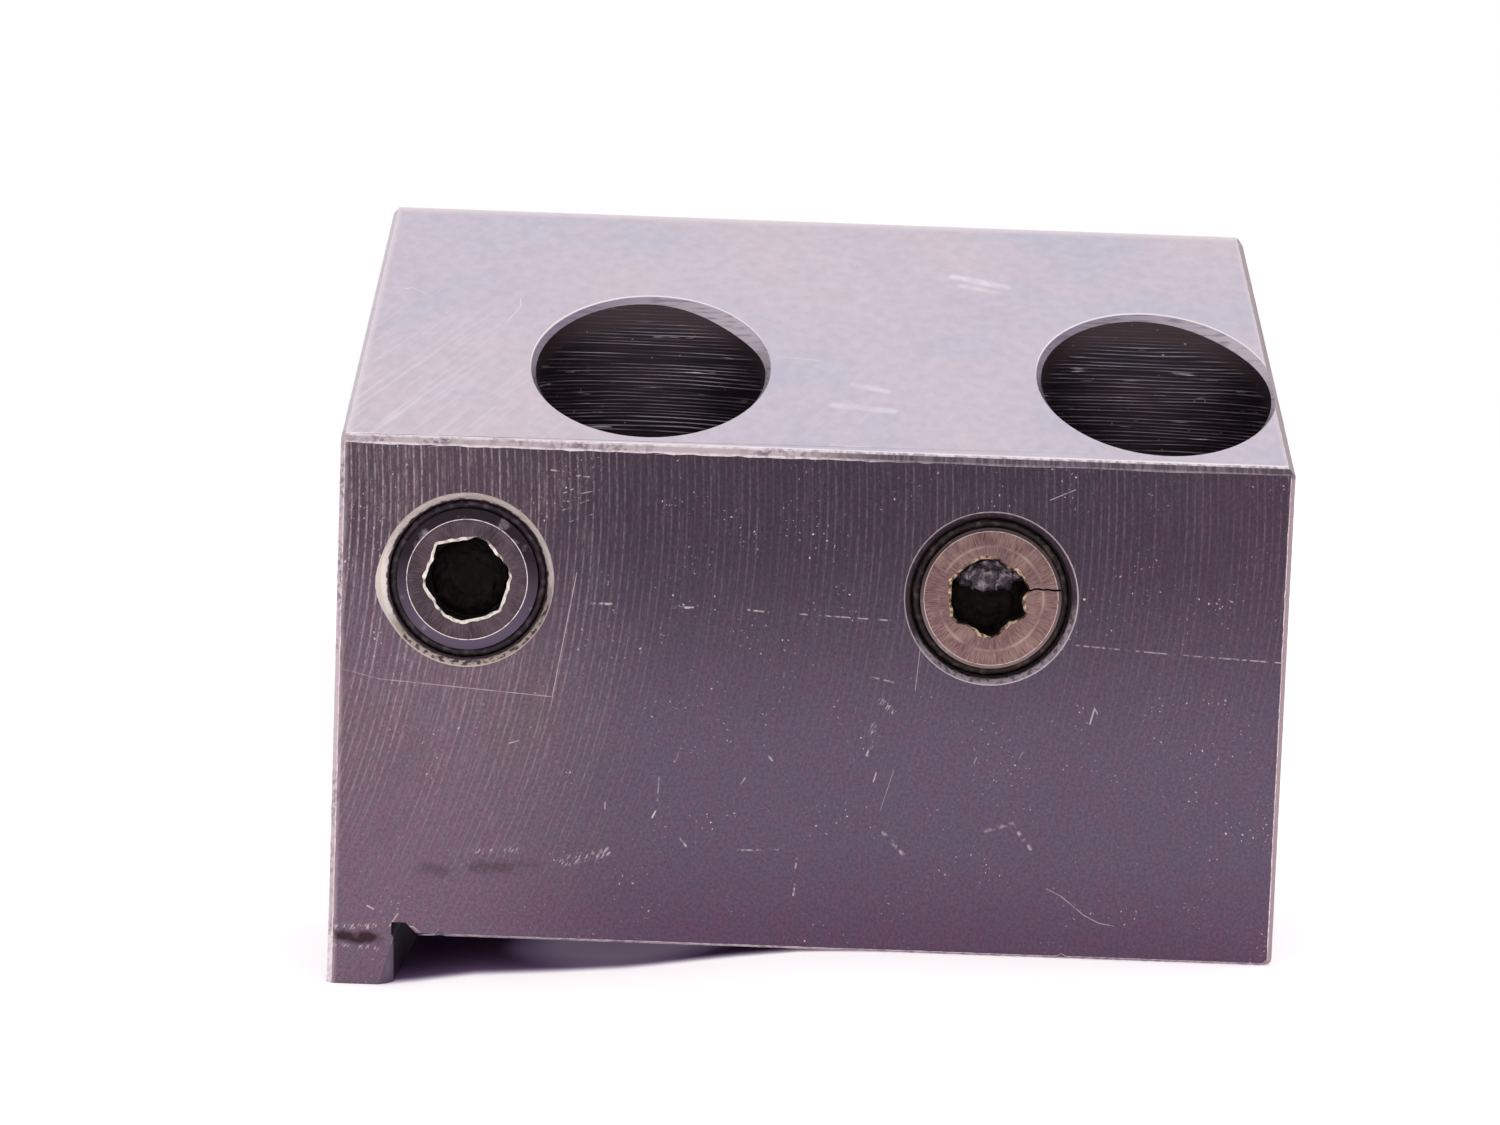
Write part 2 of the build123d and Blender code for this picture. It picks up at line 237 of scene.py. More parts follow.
# What shows on the front: where a mark starts and ends, across and up, its width in millimetres, strength
frontMarks = {
    "scratched": (
        (-54.4, 39.1, -32.4, 37.6, 0.075, 0.60), (-32.4, 37.6, -29.8, 53.4, 0.08, 0.65),
        (29.3, 64.7, 32.4, 66.1, 0.08, 0.6), (13.8, 46.4, 13.3, 40.1, 0.07, 0.5),
        (30.9, 15.4, 32.8, 14.5, 0.07, 0.7), (32.8, 14.5, 35.9, 12.1, 0.07, 0.7),
        (35.9, 12.1, 37.8, 11.2, 0.07, 0.7), (37.8, 11.2, 39.7, 10.9, 0.07, 0.6),
        (-37.6, 31.5, -36.4, 31.9, 0.10, 0.7), (-58.9, 40.2, -54.4, 39.1, 0.06, 0.4),
        (11.0, 29.8, 9.5, 24.6, 0.07, 0.35), (8.8, 29.4, 8.5, 28.3, 0.12, 0.8),
        (-51.5, 4.6, -51.5, 6.8, 0.13, 0.5), (-51.5, 6.8, -50.4, 7.6, 0.13, 0.6),
        (-50.4, 7.6, -49.1, 7.6, 0.12, 0.6), (-49.1, 7.6, -47.4, 6.1, 0.12, 0.5),
        (-52.2, 0.0, -51.3, 4.6, 0.15, 0.6), (-52.1, 7.6, -51.1, 9.2, 0.13, 0.7),
        (-19.3, 22.7, -18.9, 23.5, 0.14, 1.0), (-8.2, 27.4, -7.7, 28.2, 0.10, 0.6),
        (-25.3, 24.4, -25.3, 23.6, 0.11, 0.6), (36.0, 38.6, 36.4, 37.9, 0.10, 0.8),
        (35.5, 36.6, 36.0, 38.6, 0.14, 0.7), (-55.0, 10.1, -54.2, 9.7, 0.13, 0.9),
        (26.8, 31.9, 27.2, 32.7, 0.08, 0.5), (21.1, 31.1, 21.4, 31.8, 0.08, 0.5),
    ),
    "dotted": (
        (-33.4, 66.2, -31.0, 66.0, 0.12, 0.8), (-30.2, 65.6, -27.3, 65.4, 0.12, 0.7),
        (-32.3, 63.1, -30.6, 63.9, 0.10, 0.7), (-29.5, 63.4, -27.3, 63.9, 0.10, 0.5),
        (-31.8, 61.2, -28.6, 62.6, 0.09, 0.6), (-30.9, 59.8, -27.9, 60.9, 0.09, 0.5),
        (-27.8, 49.6, -25.3, 49.6, 0.20, 0.8), (-17.6, 49.5, -14.9, 49.5, 0.20, 0.8),
        (-8.1, 49.5, -5.6, 49.3, 0.15, 0.7), (-1.6, 49.2, 9.8, 48.8, 0.12, 0.6),
        (33.3, 46.5, 45.0, 45.8, 0.12, 0.5), (45.0, 45.8, 59.5, 45.2, 0.12, 0.6),
        (50.7, 52.5, 51.2, 51.8, 0.14, 0.7), (52.2, 52.8, 53.2, 52.6, 0.12, 0.6),
        (7.6, 41.6, 10.5, 41.0, 0.12, 0.5), (-16.7, 29.9, -15.5, 32.7, 0.14, 0.6),
        (-18.7, 24.9, -18.6, 27.9, 0.12, 0.4), (-8.3, 18.9, -2.6, 19.2, 0.16, 0.5),
        (-1.0, 16.5, -0.8, 18.1, 0.15, 0.8), (-1.1, 13.4, -0.9, 15.0, 0.15, 0.8),
        (7.5, 31.6, 7.8, 32.4, 0.15, 0.8), (10.0, 21.8, 12.9, 18.8, 0.3, 0.5),
        (27.1, 22.4, 28.7, 20.4, 0.3, 0.5), (22.9, 22.5, 26.7, 23.7, 0.3, 0.35),
        (-15.6, 20.1, -14.9, 19.2, 0.18, 0.7), (-4.8, 31.0, -4.4, 30.5, 0.18, 0.6),
    ),
    "ticked": (
        (-41.7, 17.6, -35.6, 18.0, 0.5, 0.6), (-30.2, 16.7, -24.8, 18.1, 0.8, 0.7),
        (-48.8, 17.2, -48.0, 17.4, 0.4, 0.7), (-59.7, 7.2, -54.0, 7.5, 0.45, 0.7),
        (-59.2, 5.0, -53.6, 4.7, 0.4, 0.5), (57.5, 50.6, 58.8, 50.1, 0.45, 0.6),
        (9.0, 38.6, 10.7, 37.2, 0.5, 0.6), (8.0, 32.9, 8.2, 35.4, 0.6, 0.4),
    ),
    "stained": (
        (-59.4, 6.2, -53.8, 5.9, 1.15, 1.4), (-48.3, 15.3, -44.6, 14.7, 1.1, 0.35),
        (-41.6, 15.6, -34.2, 15.8, 1.2, 0.4),
    ),
}

# Ground steel: its pale lavender grey is painted reflection of the bright tent above, mirrored at a grazing
# angle; softly clouded, with rubbed scratches
slopeLook = {
    "reflectionPale": "#c3b8c5", "blue": "#bbb7c6", "pink": "#c7bac4", "scratch": "#e6dde4", "edge": "#efe7ec",
    "border": "#ddd2d6",
}
# Start and end in millimetres on the slope, width, strength
slopeMarks = (
    ((18.6, 13.5, 92.6), (25.6, 11.5, 91.4), 1.3, 0.7), ((19.5, 11.4, 91.4), (24.5, 10.0, 90.6), 1.0, 0.45),
    ((2.0, -16.4, 75.3), (9.5, -17.3, 74.8), 1.2, 0.5), ((4.6, -12.0, 77.9), (8.7, -13.1, 77.2), 1.1, 0.45),
    ((1.5, -24.7, 70.6), (6.5, -25.0, 70.4), 0.4, 0.35),
    ((-56.1, 5.8, 88.2), (-55.0, 6.3, 88.5), 0.14, 0.8),
    ((-55.0, 6.3, 88.5), (-53.3, 5.3, 87.9), 0.14, 0.7),
    ((-40.2, 4.5, 87.4), (-40.0, 3.0, 86.5), 0.13, 0.7),
    ((-40.0, 3.0, 86.5), (-41.6, -1.2, 84.1), 0.13, 0.6),
    ((-41.6, -1.2, 84.1), (-41.8, -3.2, 83.0), 0.12, 0.4),
    ((-5.4, -6.4, 81.1), (0.6, -7.0, 80.7), 0.14, 0.5),
)


def slopeReflectionAndScratches():
    material, add, position, x, y, _ = startMaterial("ground slope, painted reflection, rubbed scratches")
    bluish = patches(add, position, 60, 3, 0.47, 0.68)
    pinkish = patches(add, position, 37, 2, 0.45, 0.65)
    # the pale base colour is painted reflection of the bright tent above
    colour = paintOver(
        add, srgb(slopeLook["reflectionPale"]), (bluish, slopeLook["blue"]), (pinkish, slopeLook["pink"])
    )
    mottle = patches(add, position, 620, 4, 0.35, 0.65, 0.95, 1.04)
    colour = add("Mix", {0: 1, 6: colour, 7: mottle}, 2, data_type="RGBA", blend_type="MULTIPLY")
    # emery strokes, drawn as coarse as shows: they run to the lower left and are clearest there
    slanted = add("Mapping", {"Vector": position, "Rotation": (0, 0, math.radians(-56))})
    strokes = patches(add, slanted, (90, 1500, 60), 2, 0.5, 0.8)
    toLeft = add("MapRange", (x, -0.03, -0.052, 0.1, 0.5))
    toFront = add("MapRange", (y, 0.004, -0.016, 0.25))
    shown = chain(add, "Math MULTIPLY", (strokes, toLeft, toFront))
    rubbed = patches(add, position, 380, 2, 0.3, 0.6, 0.3)
    for start, end, width, share in slopeMarks:
        start, end = ([length / 1000 for length in point] for point in (start, end))
        mark = scratchMask(add, position, start, end, width / 1000)
        mark = chain(add, "Math MULTIPLY", (mark, mark, rubbed, share))
        shown = add("Math MAXIMUM", (shown, mark))
    # the left, back and right borders are rubbed a little paler
    borders = [
        add("MapRange", ends)
        for ends in ((x, -0.0585, -0.0595), (x, 0.0585, 0.0593, 0, 0.7), (y, 0.0245, 0.0260))
    ]
    colour = paintOver(
        add, colour, (shown, slopeLook["scratch"]),
        # a painted highlight along the slope's front edge
        ((y, -0.0255, -0.0258), slopeLook["edge"]),
        (chain(add, "Math MAXIMUM", borders), slopeLook["border"]),
    )
    return closeMaterial(material, colour, 0.42, strokes, 0.00002, 0.85)


# Corners rubbed down to bare steel, with a painted highlight along the lines where they meet the faces
def wornEdge():
    material, add, position, x, y, z = startMaterial("rubbed bare steel corner, painted highlight")
    flecks = patches(add, position, 1500, 4, 0.44, 0.6)
    dark = patches(add, position, 160, 2, 0.4, 0.6)
    dark = add("Math MULTIPLY", (flecks, dark))
    toRight, atRight, above, atLeft, onFront, high = (
        add("MapRange", ends) for ends in (
            (x, -0.002, 0.010), (x, 0.0588, 0.0592), (z, 0.0700, 0.0706), (x, -0.0590, -0.0594),
            (y, -0.0256, -0.0259), (z, 0.0682, 0.0688),
        )
    )
    corner = add("Math MULTIPLY", (above, atLeft))
    # the upper front corner is rubbed pale on the left; right of the middle it keeps its dark skin
    band = chain(add, "Math MULTIPLY", (onFront, high, toRight))
    teeth = patches(add, position, (2600, 250, 250), 2, 0.45, 0.6, 0, 0.35)
    teeth = add("Math MULTIPLY", (teeth, band))
    # and has no painted highlight line along the front there
    kept = add("Math MULTIPLY", (high, toRight))
    kept = add("MapRange", (kept, 0, 1, 1.0, 0.2))
    # the pale lines along the corners are a painted highlight on the rubbed bare steel
    rim = atPlane(add, position, "slope", 0.00016)
    for name in ("front", "left", "seat"):
        line = add("Math MULTIPLY", (kept, atPlane(add, position, name, 0.00013)))
        rim = add("Math MAXIMUM", (rim, line))
    broken = add("MapRange", (flecks, 0, 1, 1.0, 0.45))
    rim = add("Math MULTIPLY", (rim, broken))
    colour = paintOver(
        add, srgb("#c0b0b6"), (dark, "#85737c"), (toRight, "#7d6c78"), (atRight, "#a08b91"),
        (corner, "#c9bec8"), (band, "#5a4c57"), (teeth, "#9d8b96"), (rim, "#e2d6da"),
    )
    return closeMaterial(material, colour, 0.38, flecks, 0.00006, 0.9)


# Cut surfaces that lie in shade: the relief groove and the ground corner of the lip, with painted shade
# darkening the groove
def shadedCut():
    material, add, position, _, _, z = startMaterial("ground corner and relief, blackened, painted shade")
    grind = grainOf(add, position, (900, 60, 120), 3)
    lines = add("MapRange", (grind, 0.5, 0.7, 0, 0.6))
    # painted shade: darker in the relief groove
    grooveShade = add("MapRange", (z, blockSize["seat"] - 0.0016, blockSize["seat"] + 0.0004))
    colour = paintOver(add, srgb("#6b5d70"), (grooveShade, "#2b212c"), (lines, "#8b7c8d"))
    return closeMaterial(material, colour, 0.4, grind, 0.00005, 0.85)


# Bored steel: almost black, partly its own blackened colour and partly painted reflection of a dark room in
# the deep bore, with fine feed marks, bright torn streaks and a few rusty specks
boreLook = {
    "feed": 0.00048, "wander": 0.0016, "dark": "#20141c", "blue": "#150f1b", "smooth": "#3a2c30",
    "marks": "#b09eae", "streaks": "#d6c9ca", "specks": "#8d7d52",
}


def boredWall():
    material, add, position, _, y, z = startMaterial("bored wall, torn feed marks, painted reflection")
    look = boreLook
    phase = add("Math MULTIPLY", (grainOf(add, position, (25, 25, 260), 2), look["wander"]))
    phase = add("Math ADD", (phase, z))
    phase = add("Math MULTIPLY", (phase, 2 * math.pi / look["feed"]))
    feed = add("MapRange", (add("Math SINE", (phase,)), 0.25, 1.0))
    rings = grainOf(add, position, (22, 22, 1100), 3, Roughness=0.6)
    rings = add("MapRange", (rings, 0.38, 0.62))
    torn = grainOf(add, position, (150, 150, 2200), 3)
    worn = add("MapRange", (torn, 0.35, 0.6, 0.25))
    streaks = add("MapRange", (torn, 0.66, 0.76))
    # how far below the slope: a smoother brown band lies just under the mouth
    back = add("Math ADD", (y, -blockSize["front"]))
    rise = add("Math MULTIPLY", (back, math.tan(blockSize["slope"])))
    level = add("Math ADD", (rise, blockSize["frontTop"]))
    below = add("Math SUBTRACT", (level, z))
    smooth = add("MapRange", (below, 0.0045, 0.0030))
    rough = add("MapRange", (smooth, 0, 1, 1.0, 0.1))
    marks = chain(add, "Math MULTIPLY", (feed, rings, worn, rough))
    streaks = add("Math MULTIPLY", (streaks, rough))
    # the near-black base is partly painted reflection
    colour = paintOver(
        add, srgb(look["dark"]), (patches(add, position, 130, 3, 0.4, 0.62), look["blue"]),
        (smooth, look["smooth"]), (marks, look["marks"]), (streaks, look["streaks"]),
        (patches(add, position, 1500, 1, 0.75, 0.80), look["specks"]),
    )
    height = add("Math ADD", (marks, streaks))
    return closeMaterial(material, colour, 0.42, height, 0.00006, 0.6)


# Chamfered mouth of a bore: turned smooth, wide and light on its right, thin and darker on its left, with a
# painted highlight where it meets the slope
def mouthRing():
    material, add, position, x, _, _ = startMaterial("bore mouth, turned smooth")
    sides = []
    for bore in blockSize["bores"]:
        side = add("Math SUBTRACT", (x, bore))
        within = add("Math ABSOLUTE", (side,))
        within = add("Math LESS_THAN", (within, 0.025))
        sides.append(add("Math MULTIPLY", (side, within)))
    light = add("MapRange", (add("Math ADD", sides), -0.012, 0.012))
    grit = grainOf(add, position, (300, 300, 2600), 3)
    colour = paintOver(
        add, srgb("#84788a"), (light, "#bbafb9"),
        ((grit, 0.5, 0.68, 0, 0.5), "#584c58"),
        # a painted highlight along the mouth's edge on the slope
        (atPlane(add, position, "slope", 0.00016), "#f2eaef"),
    )
    return closeMaterial(material, colour, 0.38, grit, 0.00003, 0.9)


# Drilled steel in shade: oily black, rough, with a few bright specks, and painted light that makes it paler
# near the mouth
def drilledWall():
    material, add, position, _, y, _ = startMaterial("drilled wall, oily, painted light near the mouth")
    grit = grainOf(add, position, 1500, 2)
    # painted light: paler within a few millimetres of the mouth
    mouth = add("MapRange", (y, blockSize["front"] + 0.004, blockSize["front"] + 0.001))
    specks = add("MapRange", (grit, 0.66, 0.76))
    colour = paintOver(add, srgb("#3a2e35"), (mouth, "#7b6a73"), (specks, "#a89590"))
    return closeMaterial(material, colour, 0.4, grit, 0.00005, 0.7)


# The way from a cross hole's axis, and how far it is
def aroundAxis(add, x, z, centre):
    side = add("Math SUBTRACT", (x, centre))
    up = add("Math SUBTRACT", (z, blockSize["crossLevel"]))
    flat = add("CombineXYZ", (side, up))
    return flat, add("VectorMath LENGTH", (flat,), "Value")


# Countersunk mouth of a cross hole: rubbed at its outer edge, rough and speckled below the screw
def countersink(name, centre, look):
    material, add, position, x, _, z = startMaterial(name)
    flat, reach = aroundAxis(add, x, z, centre)
    grit = grainOf(add, position, 1300, 3)
    fleck = add("MapRange", (grit, 0.55, 0.68))
    fleck = add("Math MULTIPLY", (fleck, look["fleckShare"]))
    # the lower part is rough, and reaches higher on the right
    low = add("VectorMath DOT_PRODUCT", (flat, (-0.2, 0.9, 0)), "Value")
    low = add("MapRange", (low, -0.002, -0.005))
    rough = add("Math MULTIPLY", (low, add("MapRange", (grit, 0.42, 0.55))))
    wander = add("Math MULTIPLY", (grit, 0.0006))
    wander = add("Math SUBTRACT", (reach, wander))
    colour = paintOver(
        add, srgb(look["plain"]), (fleck, look["fleck"]), (low, look["low"]), (rough, look["lowFleck"]),
        ((wander, 0.0100, 0.00985), look["inner"]),
        ((reach, 0.01078, 0.01092), look["outer"]),
    )
    return closeMaterial(material, colour, 0.4, grit, 0.00008, 0.9)


leftMouth = {
    "plain": "#e6dad4", "fleck": "#b5a4a0", "low": "#5d4c50", "lowFleck": "#c4b3a9",
    "inner": "#51434a", "outer": "#d6c8c2", "fleckShare": 0.25,
}
rightMouth = {
    "plain": "#4a3d44", "fleck": "#7f6f77", "low": "#6e6067", "lowFleck": "#a3939c",
    "inner": "#2c2328", "outer": "#cfc3cb", "fleckShare": 0.6,
}


def deselect():
    bpy.ops.object.select_all(action="DESELECT")


def pickUp(piece):
    deselect()
    piece.select_set(True)
    bpy.context.view_layer.objects.active = piece


# Nothing of a mesh is selected, not a face, an edge or a point
def clearChoice(mesh):
    for group in (mesh.vertices, mesh.edges, mesh.polygons):
        for item in group:
            item.select = False


def leaveEdit():
    bpy.ops.mesh.select_all(action="DESELECT")
    bpy.ops.object.mode_set(mode="OBJECT")


def copyNode(node, name):
    piece = bpy.data.objects.new(name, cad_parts[node].data.copy())
    bpy.context.scene.collection.objects.link(piece)
    piece.data.materials.clear()
    pickUp(piece)
    bpy.ops.mesh.customdata_custom_splitnormals_clear()
    bpy.ops.object.mode_set(mode="EDIT")
    bpy.ops.mesh.select_all(action="SELECT")
    bpy.ops.mesh.remove_doubles(threshold=0.000001)
    leaveEdit()
    return piece


def nearPlanes(point, reach):
    return [
        name for name, (normal, offset) in blockPlanes.items()
        if -0.000001 < offset - normal.dot(point) < reach
    ]


def facePlane(face):
    for name, (normal, offset) in blockPlanes.items():
        if face.normal.dot(normal) > 0.9995 and abs(offset - normal.dot(face.center)) < 0.00001:
            return name
    return None


# How far the corners are worn back, how near to a corner that reaches, and what keeps its shape. Metres
wearLook = {
    "nicks": 0.00034, "ripple": 0.00011, "rippleLength": 0.00125, "plain": 0.00012, "nicksEnd": 0.014,
    "corner": 0.0009, "reach": 0.0013, "crowded": 0.0022, "boreKept": 0.0172,
    "cuts": ((0.105, 1, 260), (0.08, 0.105, 150), (0.045, 0.08, 110)),  # edges from, to, cuts
}


def wearAt(point, first, second):
    rough = abs(noise.noise(point * 420)) + 0.5 * abs(noise.noise(point * 1300))
    if {first, second} == {"front", "slope"}:
        if point.x < wearLook["nicksEnd"]:
            return wearLook["nicks"] * rough
        ripple = 0.5 + 0.5 * math.sin(2 * math.pi * point.x / wearLook["rippleLength"])
        return wearLook["ripple"] * ripple
    return wearLook["plain"] * rough


def wearCorners(piece):
    mesh = piece.data
    for shortest, longest, cuts in wearLook["cuts"]:
        clearChoice(mesh)
        chosen = set()
        for face in mesh.polygons:
            if facePlane(face) is None and len(nearPlanes(face.center, wearLook["corner"])) >= 2:
                chosen.update(face.edge_keys)
        for edge in mesh.edges:
            first, second = (mesh.vertices[number].co for number in edge.vertices)
            if edge.key in chosen and shortest < (first - second).length <= longest:
                edge.select = True
        bpy.ops.object.mode_set(mode="EDIT")
        bpy.ops.mesh.select_mode(type="EDGE")
        bpy.ops.mesh.subdivide(number_cuts=cuts)
        leaveEdit()
    for vertex in mesh.vertices:
        on = nearPlanes(vertex.co, 0.000001)
        near = [name for name in nearPlanes(vertex.co, wearLook["reach"]) if name not in on]
        crowded = len(nearPlanes(vertex.co, wearLook["crowded"])) > 2
        atBore = any(
            math.hypot(vertex.co.x - bore, vertex.co.y - blockSize["boreRow"]) < wearLook["boreKept"]
            for bore in blockSize["bores"]
        )
        if len(on) == 1 and len(near) == 1 and not crowded and not atBore:
            flat, other = blockPlanes[on[0]][0], blockPlanes[near[0]][0]
            inward = -(other - other.dot(flat) * flat).normalized()
            vertex.co += inward * wearAt(vertex.co, on[0], near[0])


# Which finish of the block a face has
def blockFinish(face):
    plane, centre = facePlane(face), face.center
    reliefLeft, reliefRight = blockSize["reliefSides"]
    if plane == "front":
        return "frontLeft" if centre.x < blockSize["frontSplit"] else "frontRight"
    if plane is not None:
        return {"slope": "slope", "left": "side", "right": "side"}.get(plane, "backAndSeat")
    if centre.z < blockSize["reliefTop"] and reliefLeft < centre.x < reliefRight:
        return "relief"
    for bore in blockSize["bores"]:
        if math.hypot(centre.x - bore, centre.y - blockSize["boreRow"]) < blockSize["boreMouth"]:
            return "bore" if abs(face.normal.z) < 0.05 else "boreMouth"
    for hole, sink in zip(blockSize["crossHoles"], ("leftSink", "rightSink")):
        if math.hypot(centre.x - hole, centre.z - blockSize["crossLevel"]) < blockSize["crossMouth"]:
            if abs(face.normal.y) < 0.05:
                return "crossHole"
            return sink if centre.y < 0 else "edge"
    return "edge"


# The left countersink is knocked wider on its left: degrees, metres
leftBulge = {"centre": 187, "spread": 17, "most": 0.00055}


def widenMouth(piece):
    middle = blockSize["crossHoles"][0]
    for vertex in piece.data.vertices:
        side, up = vertex.co.x - middle, vertex.co.z - blockSize["crossLevel"]
        reach = math.hypot(side, up)
        if vertex.co.y < blockSize["front"] + 0.000002 and 0.0108 < reach < 0.0112:
            away = math.degrees(math.atan2(up, side)) % 360 - leftBulge["centre"]
            share = math.exp(-((away / leftBulge["spread"]) ** 2))
            vertex.co.x += side / reach * leftBulge["most"] * share
            vertex.co.z += up / reach * leftBulge["most"] * share


# The mouths of the bores are cut deeper towards the back right: degrees, metres
mouthCut = {"centre": 42, "spread": 34, "depths": (0.0012, 0.0006), "band": 0.004}


def deepenMouths(piece):
    normal, offset = blockPlanes["slope"]
    lower = set()
    for vertex in piece.data.vertices:
        below = (offset - normal.dot(vertex.co)) / normal.z
        for bore, depth in zip(blockSize["bores"], mouthCut["depths"]):
            side, back = vertex.co.x - bore, vertex.co.y - blockSize["boreRow"]
            offWall = abs(math.hypot(side, back) - blockSize["boreRadius"])
            if below < mouthCut["band"] and offWall < 0.00002:
                lower.add(vertex.index)
                away = math.degrees(math.atan2(back, side)) - mouthCut["centre"]
                vertex.co.z -= depth * math.exp(-((away / mouthCut["spread"]) ** 2))
    # the cut stays crisp where it meets the wall
    for edge in piece.data.edges:
        edge.use_edge_sharp = lower.issuperset(edge.vertices)


# A shader holds about forty marks, so the front has two, which meet at a line with no mark across it
def divideFront(piece):
    for face in piece.data.polygons:
        face.select = facePlane(face) == "front"
    bpy.ops.object.mode_set(mode="EDIT")
    bpy.ops.mesh.select_mode(type="FACE")
    bpy.ops.mesh.bisect(plane_co=(blockSize["frontSplit"], 0, 0), plane_no=(1, 0, 0))
    leaveEdit()


def marksBetween(low, high):
    return {
        kind: [mark for mark in marks if low < (mark[0] + mark[2]) / 2000 < high]
        for kind, marks in frontMarks.items()
    }


def makeBlock():
    piece = copyNode("block", "holder_block")
    wearCorners(piece)
    widenMouth(piece)
    deepenMouths(piece)
    divideFront(piece)
    left, split, right = (blockSize[key] for key in ("left", "frontSplit", "right"))
    leftHole, rightHole = blockSize["crossHoles"]
    finishes = {
        "frontLeft": milledSteel("blackened milled front, left", "X", marksBetween(left, split)),
        "slope": slopeReflectionAndScratches(),
        "edge": wornEdge(),
        "bore": boredWall(),
        "crossHole": drilledWall(),
        "leftSink": countersink("left countersink, rubbed bright", leftHole, leftMouth),
        "rightSink": countersink("right countersink, mostly black", rightHole, rightMouth),
        "backAndSeat": milledSteel("blackened milled back and seat", "X", {}),
        "side": milledSteel("blackened milled side", "Y", {}),
        "relief": shadedCut(),
        "boreMouth": mouthRing(),
        "frontRight": milledSteel("blackened milled front, right", "X", marksBetween(split, right)),
    }
    for finish in finishes.values():
        piece.data.materials.append(finish)
    for face in piece.data.polygons:
        face.material_index = list(finishes).index(blockFinish(face))
    # under the angle of about 28 degrees between a bore's wall and its mouth
    bpy.ops.object.shade_smooth_by_angle(angle=math.radians(18))
    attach(piece, "block")
    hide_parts("block")


makeBlock()
print("stage: block")


# Turned alloy steel, oiled and blackened: the cotters' plain finish
def cotterSteel():
    material, add, position, *_ = startMaterial("turned cotter steel, oiled black")
    rings = grainOf(add, position, (60, 2600, 60), 3)
    cloud = grainOf(add, position, 200, 3)
    light = add("MapRange", (rings, 0.55, 0.8, 0, 0.5))
    colour = paintOver(add, srgb("#2f272c"), (cloud, "#5b4d55"), (light, "#8a7a82"))
    return closeMaterial(material, colour, 0.36, rings, 0.00004, 0.9)


cotterFinish = cotterSteel()
for cotter in ("left_front_cotter", "right_front_cotter", "left_rear_cotter", "right_rear_cotter"):
    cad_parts[cotter].data.materials[0] = cotterFinish
print("stage: cotters")

# Millimetres: depths are counted from the head's face towards the back
screwSize = {
    "face": -26.1, "headRadius": 8.9, "headHeight": 7.5, "shankRadius": 6.0, "collar": 4.6,
    "length": 47.5, "tipBreak": 1.1, "pitch": 1.75, "rootRadius": 5.0, "segments": 144,
    "flatRadius": 5.0, "socketDepth": 5.0, "pointDepth": 8.0, "rimDepth": 0.3,
    "burr": 0.05, "lip": 0.30, "lipRipple": 0.12,
}
# The worn mouth of each socket, seen from the front, across and up from the screw's axis
leftScrew = {
    "node": "left_clamp_screw", "body": "left_screw", "slot": "left_screw_steel", "centre": -43.6,
    "ring": 7.6, "taper": 1.25, "turn": 13, "worn": 5.75,
    "mouth": (
        (-4.25, 4.49), (-2.80, 4.89), (-1.20, 5.21), (0.24, 5.45), (1.33, 5.53), (2.64, 4.89),
        (3.61, 3.77), (4.57, 2.64), (5.37, 1.52), (5.61, 0.64), (5.37, -0.88), (4.89, -2.48),
        (4.41, -3.77), (3.61, -4.33), (2.32, -4.97), (0.88, -5.29), (-0.56, -5.69), (-1.36, -5.45),
        (-2.48, -4.97), (-3.77, -3.77), (-4.41, -2.64), (-5.21, -1.84), (-5.53, -0.88),
        (-5.61, 0.24), (-5.21, 1.20), (-4.73, 2.48), (-4.41, 3.61),
    ),
}
rightScrew = {
    "node": "right_clamp_screw", "body": "right_screw", "slot": "right_screw_steel", "centre": 22.4,
    "ring": 8.45, "taper": 0.4, "turn": 30, "worn": 5.3,
    "mouth": (
        (-5.43, 2.16), (-4.60, 3.07), (-3.38, 4.14), (-2.47, 4.82), (-1.40, 5.36), (0.27, 5.33),
        (0.88, 5.05), (1.95, 4.14), (3.32, 3.84), (4.08, 3.07), (4.54, 2.01), (4.92, 1.17),
        (4.38, 0.33), (4.41, -1.34), (4.69, -1.87), (3.93, -2.56), (2.71, -3.17), (1.64, -4.08),
        (0.73, -4.92), (-0.33, -5.07), (-1.25, -4.84), (-2.16, -4.08), (-3.07, -3.47),
        (-4.29, -3.32), (-5.05, -2.56), (-5.21, -1.34), (-5.36, 0.33), (-5.48, 1.40),
    ),
    "crack": (
        (4.2, 1.20), (5.0, 1.16), (5.35, 1.36), (5.9, 1.42), (6.5, 1.30), (7.1, 1.38), (7.8, 1.28),
        (9.4, 1.34),
    ),
    "crackWidth": 0.24, "crackDepth": 4.2,
}


def mouthRadius(outline, angle):
    ray = (math.cos(angle), math.sin(angle))
    for first, second in zip(outline, (*outline[1:], outline[0])):
        run = (second[0] - first[0], second[1] - first[1])
        across = ray[0] * run[1] - ray[1] * run[0]
        if abs(across) > 0.000001:
            distance = (first[0] * run[1] - first[1] * run[0]) / across
            share = (first[0] * ray[1] - first[1] * ray[0]) / across
            if distance > 0 and -0.0001 <= share <= 1.0001:
                return distance
    return screwSize["flatRadius"]


def hexRadius(turn, worn, angle):
    fromFlat = (math.degrees(angle) - turn) % 60 - 30
    return min(screwSize["flatRadius"] / math.cos(math.radians(fromFlat)), worn)


# Turns a closed shell the right way out
def leaveClosed():
    bpy.ops.mesh.select_all(action="SELECT")
    bpy.ops.mesh.normals_make_consistent(inside=False)
    leaveEdit()


